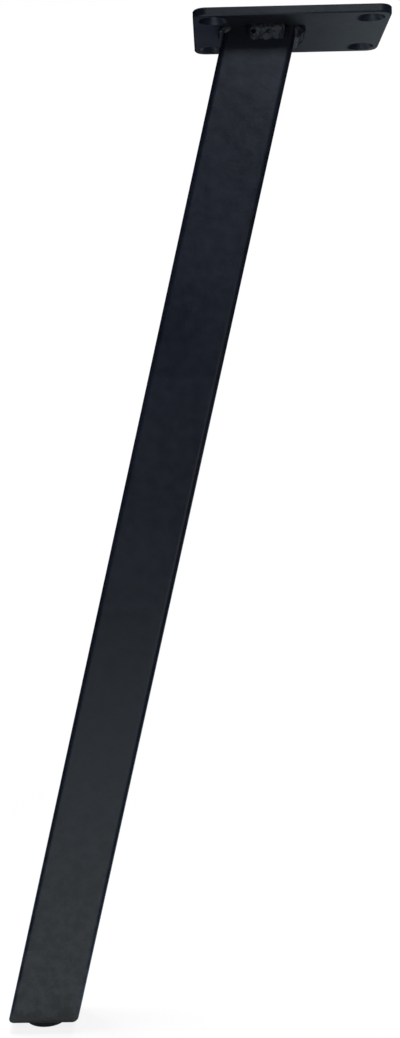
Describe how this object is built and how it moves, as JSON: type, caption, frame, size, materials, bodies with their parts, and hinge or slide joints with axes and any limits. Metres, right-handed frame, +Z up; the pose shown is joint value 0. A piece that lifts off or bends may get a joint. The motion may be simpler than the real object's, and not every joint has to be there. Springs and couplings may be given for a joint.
{
  "type": "table leg",
  "caption": "Leaning square steel tube leg welded under a flat screw plate with countersunk corner holes, closed by a plastic plug with a round floor glide.",
  "frame": {"origin": "middle of the plate's upper face, which bears on the underside of the table", "axes": "+Z up, out of the plate; the tube leans towards -X on its way down; -Y is the side with the weld seen in the picture"},
  "size_m": [0.1725, 0.064, 0.438],
  "materials": {
    "powder_coat": "satin black powder coat",
    "weld_coat": "satin black powder coat over a rough bead",
    "plug_plastic": "fine matt grain",
    "glide_plastic": "matt, lightly scuffed where it slides"
  },
  "bodies": {
    "root": {"mounting_plate": "powder_coat", "leg_tube": "powder_coat", "front_weld": "weld_coat", "rear_weld": "weld_coat", "left_weld": "weld_coat", "right_weld": "weld_coat", "end_plug": "plug_plastic", "floor_glide": "glide_plastic"}
  },
  "joints": []
}
